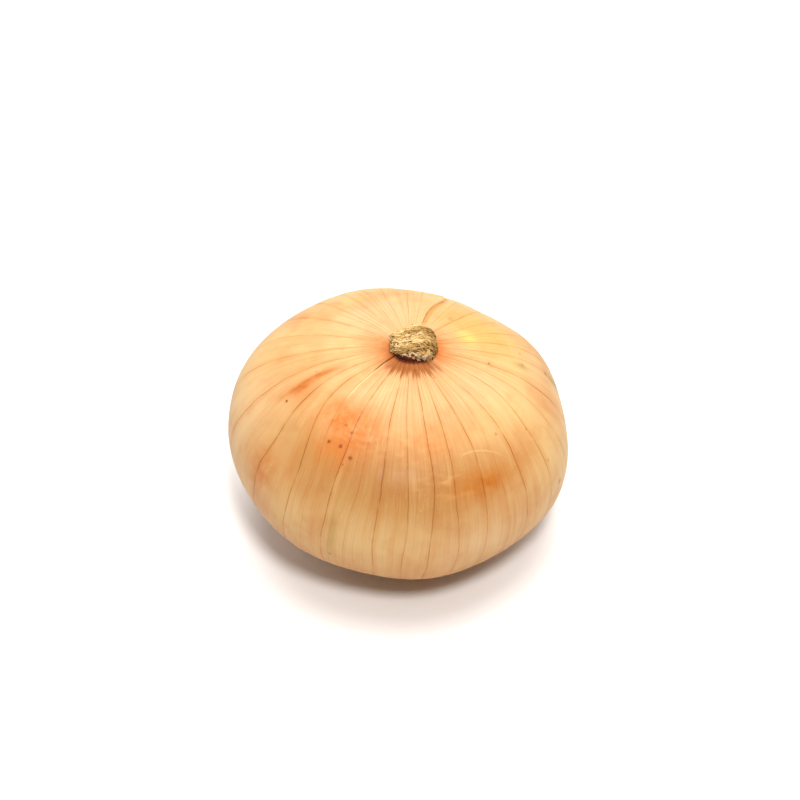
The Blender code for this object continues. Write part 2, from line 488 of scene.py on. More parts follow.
def add_node(tree, kind, inputs=None, **settings):
    """A new node: its settings, and its inputs by name or number."""
    node = tree.nodes.new(kind)
    for name, value in settings.items():
        setattr(node, name, value)
    for name, value in (inputs or {}).items():
        feed(tree, value, node.inputs[name])
    return node


def worked_out(tree, operation, *values, clamp=False):
    """A sum in a tree: the operation done on numbers or on other nodes' outputs."""
    node = add_node(tree, "ShaderNodeMath", dict(enumerate(values)), operation=operation, use_clamp=clamp)
    return node.outputs[0]


def times(tree, first, second):
    return worked_out(tree, "MULTIPLY", first, second)


def times_plus(tree, first, second, third):
    return worked_out(tree, "MULTIPLY_ADD", first, second, third)


def vector_sum(tree, operation, *values):
    return add_node(tree, "ShaderNodeVectorMath", dict(enumerate(values)), operation=operation).outputs


def soft_step(tree, value, start, end):
    """0 before start and 1 after end, in a shader; start may be the higher one."""
    inputs = dict(enumerate((value, start, end, 0, 1)))
    return add_node(tree, "ShaderNodeMapRange", inputs, interpolation_type="SMOOTHSTEP").outputs[0]


def mixed(tree, amount, first, second, blend="MIX"):
    """One colour mixed into another; amount may be a number or a mask."""
    inputs = {0: amount, 6: first, 7: second}
    return add_node(tree, "ShaderNodeMix", inputs, data_type="RGBA", blend_type=blend).outputs[2]


def tint(tree, colour, mask, strength, tone, blend="MIX"):
    """A tone mixed into a colour by a share of a mask."""
    return mixed(tree, worked_out(tree, "MULTIPLY", mask, strength, clamp=True), colour, tone, blend)


def darken(tree, colour, mask, strength, tone):
    """A colour multiplied by a tone by a share of a mask."""
    return tint(tree, colour, mask, strength, (*tone, 1), "MULTIPLY")


def attribute(tree, name):
    return add_node(tree, "ShaderNodeAttribute", attribute_name=name).outputs["Fac"]


def object_place(tree):
    return add_node(tree, "ShaderNodeTexCoord").outputs["Object"]


def noise(tree, place, scale, detail=3.0, roughness=0.5, distortion=0.0):
    return add_node(tree, "ShaderNodeTexNoise", {
        "Vector": place, "Scale": scale, "Detail": detail, "Roughness": roughness, "Distortion": distortion,
    }).outputs["Fac"]


def stretched_noise(tree, place, across, along, detail=3.0, roughness=0.5, distortion=0.0, turn=0.0):
    """Noise on a map whose two directions are scaled on their own; turn is in radians."""
    mapping = add_node(tree, "ShaderNodeMapping", {
        "Vector": place, "Rotation": (0, 0, turn), "Scale": (across, along, 1),
    })
    return noise(tree, mapping.outputs["Vector"], 1, detail, roughness, distortion)


def bumped(tree, shader, height, strength, distance):
    """Roughen a material's surface by a height."""
    inputs = {"Strength": strength, "Distance": distance, "Height": height}
    bump = add_node(tree, "ShaderNodeBump", inputs)
    feed(tree, bump.outputs["Normal"], shader.inputs["Normal"])


def paint(red, green, blue):
    """A linear colour from its everyday 0 to 255 values."""
    def linear(level):
        level /= 255
        return level / 12.92 if level <= 0.04045 else ((level + 0.055) / 1.055) ** 2.4
    return (linear(red), linear(green), linear(blue), 1)


def new_material(name, finish):
    """A material with its tree and its shader; finish gives the shader's plain values."""
    material = bpy.data.materials.new(name)
    material.use_nodes = True
    tree = material.node_tree
    shader = tree.nodes["Principled BSDF"]
    for label, value in finish.items():
        shader.inputs[label].default_value = value
    return material, tree, shader


# Specks on the skin: azimuth, latitude, radius in millimetres and how dark
SPECKS = (
    (-35.2, 44.6, 0.46, 0.95), (-29.7, 45, 0.50, 0.95), (-23.8, 41.8, 0.50, 0.95),
    (-32.8, 53.4, 0.36, 0.60), (-28.3, 51.6, 0.38, 0.65), (-25.4, 38.4, 0.32, 0.60),
    (-65.8, 43.7, 0.38, 0.90), (-74.3, 59, 0.28, 0.45), (90.3, 64.8, 0.34, 0.75),
    (107.7, 48.6, 0.40, 0.40), (99.4, 49.3, 0.45, 0.40), (102.7, 33.6, 0.60, 0.55),
    (46.2, 48.4, 0.34, 0.50), (61.5, 42.1, 0.30, 0.45), (62.1, 23.9, 0.34, 0.45),
    (-21.9, -8.8, 0.40, 0.40), (66, 7, 0.80, 0.45), (160.5, 53.3, 0.40, 0.60),
    (8, 81.5, 0.35, 0.55), (34, 77.5, 0.30, 0.45), (-150, 20, 0.30, 0.60),
    (175, 8, 0.32, 0.65), (171.5, 12, 0.22, 0.50), (-110, 12, 0.28, 0.55),
    (-128, 35, 0.24, 0.50), (140, 30, 0.26, 0.55),
)

# Tones painted over the paper where their masks are: mask, strength and colour
PAPER_TONES = (
    # The first tone is paler paper, partly painted sheen near the bulb's left and right edges
    ("paler_paper_and_sheen", 0.85, (208, 173, 128)), ("pale", 0.75, (198, 167, 127)),
    ("low", 0.72, (179, 128, 71)), ("belly", 0.90, (154, 105, 50)),
)
STAINS = (
    ("thin", 0.72, (202, 154, 74)), ("glow", 0.80, (216, 186, 98)),
    ("blush", 0.95, (180, 96, 12)), ("rust", 0.84, (168, 96, 20)),
    ("streak", 0.95, (168, 84, 8)), ("green", 0.75, (140, 124, 40)),
    ("stain", 0.95, (170, 90, 24)), ("flush", 0.92, (188, 100, 28)),
    ("fan", 0.95, (144, 80, 30)), ("tear", 0.80, (196, 134, 62)),
    # cream is a painted highlight along the split's raised lip
    ("cream", 0.75, (226, 196, 140)), ("root", 0.70, (140, 96, 56)),
)
UNEVEN_STAINS = ("blush", "rust", "streak", "stain", "flush")
SPECK_TONE = paint(128, 52, 2)
SPECK_SOFTNESS = 0.55              # share of a speck's radius over which its edge fades
SPECK_WAVER = 0.8 * MM
ARC_MIDDLE = (28.3, 20.6)          # azimuth and latitude of the middle of the pressed arc
ARC_RADIUS = 14.6 * MM
SCRATCH_TURN = math.radians(-38)


def distance_to(tree, place, azimuth, latitude):
    """Distance of each place from a point of the leaning bulb."""
    point = lean_and_place(bulb_form(np.array([azimuth]), np.array([latitude])))[0]
    return vector_sum(tree, "DISTANCE", place, point)["Value"]


def skin_material():
    material, tree, shader = new_material("onion_skin", {
        "Subsurface Weight": 0.18,
        "Subsurface Radius": (1, 0.45, 0.2),
        "Subsurface Scale": 1.6 * MM,
        "Coat Weight": 0.04,
        "Coat Roughness": 0.25,
        "Specular IOR Level": 0.14,
    })
    place = object_place(tree)
    vein_map = add_node(tree, "ShaderNodeUVMap", uv_map="vein_map").outputs["UV"]
    count = add_node(tree, "ShaderNodeSeparateXYZ", {0: vein_map}).outputs["X"]
    gap = attribute(tree, "vein_gap")

    # Paper: gold, peach and cream in soft clouds and streaks that run from neck to root
    clouds = noise(tree, place, 60, 3, 0.55)
    colour = mixed(tree, soft_step(tree, clouds, 0.36, 0.66), paint(204, 168, 115), paint(195, 147, 94))
    for name, strength, tone in PAPER_TONES:
        colour = tint(tree, colour, attribute(tree, name), strength, paint(*tone))
    streaks = stretched_noise(tree, vein_map, 3.6, 0.34, 3, 0.5, 0.3)
    colour = darken(tree, colour, soft_step(tree, streaks, 0.44, 0.72), 0.60, (0.94, 0.80, 0.66))
    colour = tint(tree, colour, soft_step(tree, streaks, 0.46, 0.22), 0.22, paint(207, 178, 126))

    # Stains and thin places, with painted light among them: the glow of light through the thin skin at the
    # back, and the highlight on the split's lip
    patches = soft_step(tree, noise(tree, place, 260, 3, 0.6), 0.25, 0.62)
    patchiness = times_plus(tree, patches, 0.45, 0.55)
    for name, strength, tone in STAINS:
        mask = worked_out(tree, "MULTIPLY", attribute(tree, name), strength, clamp=True)
        share = patchiness if name in UNEVEN_STAINS else 1
        colour = tint(tree, colour, mask, share, paint(*tone))

    # Blotches and fibres
    blotches = soft_step(tree, noise(tree, place, 170, 3, 0.55), 0.50, 0.75)
    colour = darken(tree, colour, blotches, 0.45, (0.88, 0.74, 0.62))
    fibres = stretched_noise(tree, vein_map, 26, 0.55, 3, 0.6)
    fine_fibres = stretched_noise(tree, vein_map, 75, 1.4, 2)
    colour = darken(tree, colour, soft_step(tree, fibres, 0.42, 0.72), 0.30, (0.86, 0.76, 0.64))
    colour = tint(tree, colour, soft_step(tree, fine_fibres, 0.5, 0.75), 0.12, paint(222, 188, 136))

    # Veins: thin wavering lines on the whole counts, a little broken, with a faint warm edge
    waver = stretched_noise(tree, vein_map, 0.9, 1.5, 2)
    wavering = times_plus(tree, waver, 0.09, worked_out(tree, "SUBTRACT", count, 0.045))
    to_vein = times(tree, worked_out(tree, "PINGPONG", wavering, 0.5), gap)
    unevenness = stretched_noise(tree, vein_map, 1, 1.3, 4, 0.6)
    strength = times(tree, attribute(tree, "vein_strength"), soft_step(tree, unevenness, 0.22, 0.60))
    half_width = times_plus(tree, gap, 0.016, 0.10)
    line = times(tree, soft_step(tree, to_vein, half_width, times(tree, half_width, 0.2)), strength)
    halo = times(tree, soft_step(tree, to_vein, times(tree, half_width, 6.5), half_width), strength)
    colour = darken(tree, colour, halo, 0.52, (0.93, 0.73, 0.50))
    colour = darken(tree, colour, line, 0.86, (0.48, 0.33, 0.13))

    # Finer lines between the veins: faint, and clearer where the skin is drawn up to the neck
    between = worked_out(tree, "PINGPONG", times(tree, wavering, 3), 0.5)
    to_gather = times(tree, between, times(tree, gap, 0.333))
    gather = times(tree, soft_step(tree, to_gather, 0.12, 0.02), attribute(tree, "gathers"))
    gather = times(tree, gather, soft_step(tree, unevenness, 0.30, 0.60))
    colour = darken(tree, colour, gather, 0.60, (0.60, 0.48, 0.32))

    # Light marks: a pressed arc beside the rust stain, and fine scratches in the paper
    off_arc = worked_out(tree, "SUBTRACT", distance_to(tree, place, *ARC_MIDDLE), ARC_RADIUS)
    off_arc = worked_out(tree, "ABSOLUTE", off_arc)
    arc = times(tree, soft_step(tree, off_arc, 0.42 * MM, 0.05 * MM), attribute(tree, "arc"))
    colour = tint(tree, colour, arc, 0.22, paint(224, 182, 132))
    contour = stretched_noise(tree, vein_map, 3.2, 0.7, 2, 0.5, 0.4, SCRATCH_TURN)
    off_scratch = worked_out(tree, "ABSOLUTE", worked_out(tree, "SUBTRACT", contour, 0.5))
    scratch = times(tree, soft_step(tree, off_scratch, 0.020, 0.003), attribute(tree, "scratch"))
    colour = tint(tree, colour, scratch, 0.20, paint(220, 180, 128))

    # Crinkles in the dry paper, with a painted highlight along them
    crinkle = attribute(tree, "crinkle")
    crinkles = stretched_noise(tree, vein_map, 1.3, 4.6, 2, 0.45, 0.15)
    crinkle_highlight = times(tree, soft_step(tree, crinkles, 0.46, 0.70), crinkle)
    colour = tint(tree, colour, crinkle_highlight, 0.34, paint(214, 162, 108))

    # Specks with uneven edges, and painted shade: a shadow line under the lifted tear edge, the dark in the
    # split and the dark under the rim at the neck
    waver = add_node(tree, "ShaderNodeTexNoise", {"Vector": place, "Scale": 2200}).outputs["Color"]
    wavered = vector_sum(tree, "MULTIPLY_ADD", waver, (SPECK_WAVER,) * 3, place)[0]
    wavered = vector_sum(tree, "SUBTRACT", wavered, (SPECK_WAVER / 2,) * 3)[0]
    for azimuth, latitude, radius, darkness in SPECKS:
        away = distance_to(tree, wavered, azimuth, latitude)
        edge = radius * SPECK_SOFTNESS
        speck = soft_step(tree, away, (radius + edge) * MM, (radius - edge) * MM)
        colour = tint(tree, colour, speck, darkness, SPECK_TONE)
    # Painted shade in the gaps and under the rim, from the shade mask
    colour = tint(tree, colour, attribute(tree, "shade"), 0.92, paint(84, 28, 8))
    feed(tree, colour, shader.inputs["Base Color"])

    # Satin paper: fibres, crinkles and marks catch the light, and the veins are sunk
    height = times(tree, fibres, 0.9)
    for part, rise in (
        (fine_fibres, 0.35),
        (noise(tree, place, 900, 2), 0.25),
        (times(tree, crinkles, crinkle), 3),
        (line, -0.6),
        (arc, 0.6),
        (scratch, 0.7),
    ):
        height = times_plus(tree, part, rise, height)
    bumped(tree, shader, height, 0.55, 0.12 * MM)
    feed(tree, times_plus(tree, fibres, 0.16, 0.42), shader.inputs["Roughness"])
    return material


def keep(piece):
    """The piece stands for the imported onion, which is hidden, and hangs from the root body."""
    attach(piece, "root")
    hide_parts("onion")


bulb_skin = make_skin()
bulb_skin.data.materials.append(skin_material())
keep(bulb_skin)


# ------------------------------------------------------------
# Neck.  The leaf bases that dried when the onion was cured and were then cut short: a tuft of
# coarse straw-like fibres that rises out of the rim on the right and bends over to the left.
# Under it stand the dark inner skins, and its cut end is a crumbly mass of curled fibre ends.
# ------------------------------------------------------------

# Centre line of the tuft from inside the rim to its cut end, in millimetres about the rim's middle
TUFT_LINE = (
    (3.4, 0.2, -2.2), (4.1, 0.1, 0.2), (3.5, 0.2, 2.1),
    (0.8, -0.3, 2.7), (-2.5, -0.9, 2.45), (-5.4, -1.4, 2.1),
)
TUFT_RISE = (2.5, 2.8, 2.5, 2.4, 2, 1.5)    # half thickness, outwards of the bend
TUFT_DEPTH = (4, 4.4, 4.5, 4.2, 3.3, 2.1)   # half thickness, front to back
TUFT_TILT = (0, 0, 10, 22, 24, 20)          # degrees by which its back is higher
RIM_MIDDLE = np.array([0, 0, float(Skin.form[-1, :, 2].mean())])
FIBRE_COUNT = 760
FIBRE_POINTS = 17
FRAY_COUNT = 210
CURL_COUNT = 150
SHORT_POINTS = 9
CRUMB_COUNT = 520
CORE_RINGS = 40
CORE_SIDES = 72


def along_line(values, position):
    """A smooth value between the steps of a list, at positions from 0 to 1."""
    values = np.array(values, dtype=float)
    if values.ndim == 1:
        values = values[:, None]
    count = len(values) - 1
    padded = np.concatenate([[2 * values[0] - values[1]], values, [2 * values[-1] - values[-2]]])
    scaled = np.clip(np.asarray(position, dtype=float), 0, 1) * count
    step = np.minimum(scaled.astype(int), count - 1)
    part = (scaled - step)[..., None]
    before, start, end, after = (padded[step + shift] for shift in range(4))
    slope = 0.5 * (end - before)
    bend = before - 2.5 * start + 2 * end - 0.5 * after
    twist = 0.5 * (after - before) + 1.5 * (start - end)
    return ((twist * part + bend) * part + slope) * part + start


def unit(vectors):
    return vectors / np.linalg.norm(vectors, axis=-1, keepdims=True)


def tuft_point(along, turn, reach):
    """A point of the tuft: along it 0..1, turned round it in degrees, at a share of its radius."""
    along, turn, reach = np.broadcast_arrays(along, turn, reach)
    ahead = unit(along_line(TUFT_LINE, along + 0.02) - along_line(TUFT_LINE, along - 0.02))
    side = unit(np.array([0, 1, 0]) - ahead * ahead[..., 1:2])
    outward = np.cross(side, ahead)
    tilt = np.radians(along_line(TUFT_TILT, along))
    tilted_side = side * np.cos(tilt) + outward * np.sin(tilt)
    tilted_outward = outward * np.cos(tilt) - side * np.sin(tilt)
    angle = np.radians(turn)[..., None]
    rise = along_line(TUFT_RISE, along) * reach[..., None] * np.cos(angle)
    depth = along_line(TUFT_DEPTH, along) * reach[..., None] * np.sin(angle)
    return along_line(TUFT_LINE, along) + tilted_outward * rise + tilted_side * depth


def place_on_rim(points):
    """Points in millimetres about the rim's middle, brought to their place on the leaning bulb."""
    return lean_and_place(np.asarray(points) * MM + RIM_MIDDLE)


def path_mesh(name, paths, thicknesses, shades):
    """Paths as edges, with each point's thickness and shade, for the fibre nodes to follow."""
    count, length, _ = paths.shape
    first = np.arange(count * length).reshape(count, length)
    edges = np.stack([first[:, :-1].ravel(), first[:, 1:].ravel()], axis=1)
    mesh = bpy.data.meshes.new(name)
    mesh.from_pydata(paths.reshape(-1, 3).tolist(), edges.tolist(), [])
    store(mesh, "thickness", thicknesses)
    store(mesh, "shade", shades)
    return mesh


def new_group(name, kind, inputs, outputs):
    """An empty node group with its own named inputs and outputs: its tree and its inputs."""
    tree = bpy.data.node_groups.new(name, kind)
    for label, holds, *usual in inputs:
        socket = tree.interface.new_socket(label, in_out="INPUT", socket_type="NodeSocket" + holds)
        if usual:
            socket.default_value = usual[0]
    for label, holds in outputs:
        tree.interface.new_socket(label, in_out="OUTPUT", socket_type="NodeSocket" + holds)
    return tree, add_node(tree, "NodeGroupInput").outputs


def finish_nodes(tree, geometry, material):
    """The end of every tree here: real geometry with its material."""
    real = add_node(tree, "GeometryNodeRealizeInstances", {0: geometry}).outputs[0]
    coated = add_node(tree, "GeometryNodeSetMaterial", {"Geometry": real, "Material": material})
    add_node(tree, "NodeGroupOutput", {0: coated.outputs[0]})


def roughened(tree, geometry, amount, scale):
    """Points pushed about by a noise that is fixed in space."""
    place = add_node(tree, "GeometryNodeInputPosition").outputs[0]
    field = add_node(tree, "ShaderNodeTexNoise", {"Vector": place, "Scale": scale}).outputs["Color"]
    centred = vector_sum(tree, "SUBTRACT", field, (0.5, 0.5, 0.5))[0]
    push = add_node(tree, "ShaderNodeVectorMath", {0: centred, "Scale": amount}, operation="SCALE")
    inputs = {"Geometry": geometry, "Offset": push.outputs[0]}
    return add_node(tree, "GeometryNodeSetPosition", inputs).outputs[0]


def fibre_tree():
    """Tubes along every path, as thick as the path says and roughened like dry leaf."""
    tree, given = new_group("fibres_along_paths", "GeometryNodeTree", (
        ("Geometry", "Geometry"),
        ("Sides", "Int", 5),
        ("Roughness", "Float", 0.1 * MM),
        ("Roughness Scale", "Float", 900.0),
        ("Material", "Material"),
    ), [("Geometry", "Geometry")])
    rough = roughened(tree, given["Geometry"], given["Roughness"], given["Roughness Scale"])
    curves = add_node(tree, "GeometryNodeMeshToCurve", {"Mesh": rough})
    thickness = add_node(tree, "GeometryNodeInputNamedAttribute", {"Name": "thickness"}, data_type="FLOAT")
    sized = add_node(tree, "GeometryNodeSetCurveRadius", {
        "Curve": curves.outputs[0], "Radius": thickness.outputs["Attribute"],
    })
    section = add_node(tree, "GeometryNodeCurvePrimitiveCircle", {
        "Resolution": given["Sides"], "Radius": 1,
    }, mode="RADIUS")
    tubes = add_node(tree, "GeometryNodeCurveToMesh", {
        "Curve": sized.outputs[0], "Profile Curve": section.outputs["Curve"],
        "Scale": add_node(tree, "GeometryNodeInputRadius").outputs[0], "Fill Caps": True,
    })
    finish_nodes(tree, tubes.outputs[0], given["Material"])
    return tree


def crumb_tree():
    """A small rough crumb on every point, turned and sized at random."""
    tree, given = new_group("crumbs_on_points", "GeometryNodeTree", (
        ("Geometry", "Geometry"),
        ("Smallest", "Float", 0.15 * MM),
        ("Largest", "Float", 0.4 * MM),
        ("Roughness", "Float", 0.2 * MM),
        ("Roughness Scale", "Float", 2500.0),
        ("Seed", "Int", 1),
        ("Material", "Material"),
    ), [("Geometry", "Geometry")])
    crumb = add_node(tree, "GeometryNodeMeshIcoSphere", {"Radius": 1, "Subdivisions": 2})
    size, turn = (add_node(tree, "FunctionNodeRandomValue", {
        "Min": least, "Max": most, "Seed": given["Seed"],
    }, data_type="FLOAT_VECTOR").outputs["Value"] for least, most in (
        (given["Smallest"], given["Largest"]),
        ((0, 0, 0), (math.tau, math.tau, math.tau)),
    ))
    spread = add_node(tree, "GeometryNodeInstanceOnPoints", {
        "Points": given["Geometry"], "Instance": crumb.outputs["Mesh"], "Rotation": turn, "Scale": size,
    })
    real = add_node(tree, "GeometryNodeRealizeInstances", {0: spread.outputs[0]}).outputs[0]
    rough = roughened(tree, real, given["Roughness"], given["Roughness Scale"])
    finish_nodes(tree, rough, given["Material"])
    return tree


def grow(name, guide, tree, settings):
    """Run a tree on a guide mesh and keep the result as a plain mesh object."""
    guide_object = show(name + "_guide", guide)
    modifier = guide_object.modifiers.new("Grow", "NODES")
    modifier.node_group = tree
    for socket in tree.interface.items_tree:
        if socket.in_out == "INPUT" and socket.name in settings:
            modifier[socket.identifier] = settings[socket.name]
    bpy.context.view_layer.update()
    evaluated = guide_object.evaluated_get(bpy.context.evaluated_depsgraph_get())
    mesh = bpy.data.meshes.new_from_object(evaluated)
    mesh.name = name
    mesh.shade_smooth()
    guide_object.modifiers.remove(modifier)
    bpy.data.objects.remove(guide_object, do_unlink=True)
    return show(name, mesh)


def steps(count):
    return np.linspace(0, 1, count)[None, :]


def wander(draw, count, length, reach, waves):
    """Smooth random lines, one a row."""
    lines = np.zeros((count, length))
    for wave in range(1, waves + 1):
        start = draw.uniform(0, 1, (count, 1))
        height = draw.normal(0, 1, (count, 1)) / wave ** 0.7
        lines += height * np.sin(math.tau * (0.5 * wave * steps(length) + start))
    return lines * reach


def tuft_fibres():
    """Paths of the long fibres, over the outside of the tuft from its foot to its cut end."""
    draw = np.random.default_rng(21)
    each = (FIBRE_COUNT, 1)
    start = np.where(draw.random(each) < 0.55, draw.uniform(0.05, 0.16, each), draw.uniform(0.16, 0.66, each))
    end = np.minimum(start + draw.uniform(0.22, 0.95, each), draw.uniform(0.84, 1, each))
    step = steps(FIBRE_POINTS)
    along = start + (end - start) * step
    turn = np.linspace(-180, 180, FIBRE_COUNT, endpoint=False)[:, None]
    turn = turn + wander(draw, FIBRE_COUNT, FIBRE_POINTS, 8, 5) - 14 * (along - 0.4)
    turn = turn + 9 * np.sin(np.radians(turn) * 3 + 5 * along)
    reach = draw.uniform(0.87, 1.02, each) + wander(draw, FIBRE_COUNT, FIBRE_POINTS, 0.022, 5)
    reach = reach + 0.035 * np.sin(np.radians(turn) * 7 + 9 * along)
    loose_end = (draw.random(each) < 0.30) * draw.uniform(0, 0.18, each)
    reach = reach + loose_end * smooth_step(step, 0.75, 1)
    width = draw.uniform(0.055, 0.135, each) * MM
    width = np.where(draw.random(each) < 0.12, width * 1.6, width)
    taper = 0.55 + 0.45 * np.sin(math.pi * np.clip(step * 0.92 + 0.06, 0, 1)) ** 0.5
    # Random streaks of tone, painted shade darker on the tuft's front and underside, and paler towards the
    # cut end
    tone_and_painted_shade = 0.15 * np.sin(np.radians(turn) * 5 + 4 * along) + 0.16 * smooth_step(turn, -110, 40)
    tone_and_painted_shade = tone_and_painted_shade + 0.26 * smooth_step(along, 0.35, 0.85) - 0.14
    shade = draw.beta(1.6, 1.6, each) * 0.8 + tone_and_painted_shade + 0.10 * smooth_step(step, 0.8, 1)
    paths = place_on_rim(tuft_point(along, turn, reach))
    return path_mesh("neck_fibre_paths", paths, width * taper, np.clip(shade, 0, 1))


def frayed_fibres():
    """Paths of the short curled ends that hang along the tuft's lower front edge."""
    draw = np.random.default_rng(33)
    each = (FRAY_COUNT, 1)
    along = draw.uniform(0.16, 0.80, each)
    turn = draw.normal(-84, 7, each) + 8 * bell(along, 0.45, 0.16)
    step = steps(SHORT_POINTS)
    curl = draw.uniform(-1, 1, each)
    along = along + curl * 0.10 * step + 0.025 * np.sin(7 * step + curl * 9)
    turn = turn - draw.uniform(0, 8, each) * step + 5 * np.sin(5 * step + curl * 5)
    fall = draw.uniform(0.06, 0.34, each) * smooth_step(along, 0.16, 0.40)
    reach = 0.95 + fall * step + wander(draw, FRAY_COUNT, SHORT_POINTS, 0.02, 3)
    width = draw.uniform(0.07, 0.17, each) * MM * (1 - 0.45 * step)
    shade = np.clip(draw.normal(0.72, 0.26, each) + 0 * step, 0, 1)
    return path_mesh("neck_fray_paths", place_on_rim(tuft_point(along, turn, reach)), width, shade)


def cut_end_curls():
    """Paths of the little curls that the fibres of the cut end dried into."""
    draw = np.random.default_rng(12)
    along = 1 - 0.34 * draw.random(CURL_COUNT) ** 1.2
    turn = draw.uniform(-165, 10, CURL_COUNT)
    middle = tuft_point(along, turn, draw.uniform(0.93, 1.03, CURL_COUNT))
    first = unit(draw.normal(size=(CURL_COUNT, 3)))
    second = unit(np.cross(first, draw.normal(size=(CURL_COUNT, 3))))
    angle = np.radians(draw.uniform(150, 320, (CURL_COUNT, 1, 1))) * steps(SHORT_POINTS)[..., None]
    radius = draw.uniform(0.18, 0.46, (CURL_COUNT, 1, 1))
    paths = middle[:, None] + radius * (first[:, None] * np.cos(angle) + second[:, None] * np.sin(angle))
    width = np.repeat(draw.uniform(0.06, 0.12, (CURL_COUNT, 1)) * MM, SHORT_POINTS, axis=1)
    shade = np.repeat(draw.beta(1.8, 1.4, (CURL_COUNT, 1)), SHORT_POINTS, axis=1)
    return path_mesh("neck_curl_paths", place_on_rim(paths), width, shade)


def cut_end_points():
    """Points over the cut end and the crumbly lower left of the tuft."""
    draw = np.random.default_rng(5)
    along = 1 - 0.36 * draw.random(CRUMB_COUNT) ** 1.2
    turn = draw.uniform(-175, 15, CRUMB_COUNT)
    reach = np.where(along > 0.93, draw.uniform(0.1, 1, CRUMB_COUNT) ** 0.5,
                     draw.uniform(0.86, 1.02, CRUMB_COUNT))
    mesh = bpy.data.meshes.new("neck_crumb_points")
    mesh.from_pydata(place_on_rim(tuft_point(along, turn, reach)).tolist(), [], [])
    store(mesh, "shade", draw.beta(1.5, 1.5, CRUMB_COUNT))
    return mesh


def ring_piece(name, rows, material, shade=None):
    """A closed piece from rings of points, with its faces outwards and a shade at each point."""
    mesh = ring_mesh(name, rows)
    bm = bmesh.new()
    bm.from_mesh(mesh)
    bmesh.ops.recalc_face_normals(bm, faces=bm.faces)
    bm.to_mesh(mesh)
    bm.free()
    if shade is not None:
        store_rings(mesh, "shade", shade)
    mesh.shade_smooth()
    mesh.materials.append(material)
    return show(name, mesh)


def make_tuft_core(material):
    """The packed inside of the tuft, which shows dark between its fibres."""
    along = np.linspace(0, 1, CORE_RINGS)[:, None]
    turn = np.linspace(0, 360, CORE_SIDES, endpoint=False)[None, :]
    closing = smooth_step(along, -0.02, 0.06) * smooth_step(along, 1.02, 0.90)
    ripple = 0.035 * np.sin(np.radians(turn) * 17 + 5 * along)
    ripple = ripple + 0.03 * np.sin(np.radians(turn) * 9 - 14 * along)
    return ring_piece("neck_core", place_on_rim(tuft_point(along, turn, (0.92 + ripple) * closing)), material)


# Dark inner skins that stand in the rim: distance from its middle and height, in millimetres
COLLAR_PROFILE = (
    (0.6, -2.3), (3, -2.3), (4.3, -2.1), (5.15, -1.2), (5.25, -0.3), (5.05, 0.45),
    (4.75, 1.15), (4.3, 1.55), (3.8, 1.3), (3.2, 1), (2, 1), (0.6, 1.1),
)


def turned_profile(profile, rings, sides):
    """Distance from the axis, height and turn of the points of a turned shape."""
    turn = np.radians(np.linspace(0, 360, sides, endpoint=False))[None, :]
    radius, height = (along_line(side, np.linspace(0, 1, rings)) for side in zip(*profile))
    return radius, height, turn


def make_inner_skins(material):
    """The inner skins that the tuft grew from: a low ring with an uneven dry edge."""
    radius, height, turn = turned_profile(COLLAR_PROFILE, 48, 144)
    azimuth = np.degrees(turn)
    fold = 0.09 * np.sin(11 * turn + 1) + 0.07 * np.sin(29 * turn) + 0.05 * np.sin(47 * turn + 2)
    edge = 0.26 * np.sin(5 * turn + 0.7) + 0.18 * np.sin(13 * turn) + 0.12 * np.sin(31 * turn)
    out = smooth_step(radius, 3, 4.8)
    wide = (radius + fold * out) * (1 - rim_pull(azimuth))
    rows = round_axis(wide, turn, height + edge * smooth_step(height, -0.3, 0.8) * out)
    ahead = smooth_step(np.abs(turn_between(azimuth, 8)), 85, 50)
    # Darker at the front, under the tuft's overhang, as painted shade over the skins' own maroon; paler along
    # their upper edge
    shade = 0.85 - 0.62 * ahead + 0.18 * smooth_step(height, 0.3, 1.1)
    return ring_piece("neck_inner_skins", place_on_rim(rows), material, shade)


def dry_fibre_group():
    """Colour and height of dry plant fibre: streaked, mottled and paler where its shade is high."""
    group, given = new_group("dry_fibre", "ShaderNodeTree", (
        ("Place", "Vector"),
        ("Shade", "Float", 0.5),
        ("Mottle Scale", "Float", 900),
        ("Dark", "Color", (0.05, 0.02, 0.01, 1)),
        ("Middle", "Color", (0.35, 0.2, 0.07, 1)),
        ("Pale", "Color", (0.6, 0.45, 0.22, 1)),
    ), (("Colour", "Color"), ("Height", "Float")))
    mottle = noise(group, given["Place"], given["Mottle Scale"])
    level = worked_out(group, "ADD", given["Shade"], times_plus(group, mottle, 0.7, -0.35))
    colour = mixed(group, soft_step(group, level, 0, 0.48), given["Dark"], given["Middle"])
    colour = mixed(group, soft_step(group, level, 0.46, 0.95), colour, given["Pale"])
    grain = noise(group, given["Place"], times(group, given["Mottle Scale"], 3.2), 2)
    add_node(group, "NodeGroupOutput", {"Colour": colour, "Height": grain})
    return group


DRY_FIBRE = dry_fibre_group()


def fibre_material(name, dark, middle, pale, mottle_scale, bump_height, shade=None):
    """Dry matt fibre; shade is one number all over, or the piece's own attribute if left out."""
    material, tree, shader = new_material(name, {"Roughness": 0.72, "Specular IOR Level": 0.16})
    effect = add_node(tree, "ShaderNodeGroup", {
        "Place": object_place(tree),
        "Shade": attribute(tree, "shade") if shade is None else shade,
        "Mottle Scale": mottle_scale,
        "Dark": paint(*dark),
        "Middle": paint(*middle),
        "Pale": paint(*pale),
    }, node_tree=DRY_FIBRE)
    feed(tree, effect.outputs["Colour"], shader.inputs["Base Color"])
    bumped(tree, shader, effect.outputs["Height"], 0.6, bump_height)
    return material


straw = fibre_material("neck_straw", (88, 54, 26), (176, 137, 76), (222, 194, 142), 1100, 0.05 * MM)
fray = fibre_material("neck_fray", (104, 66, 36), (172, 134, 88), (212, 186, 150), 1500, 0.04 * MM)
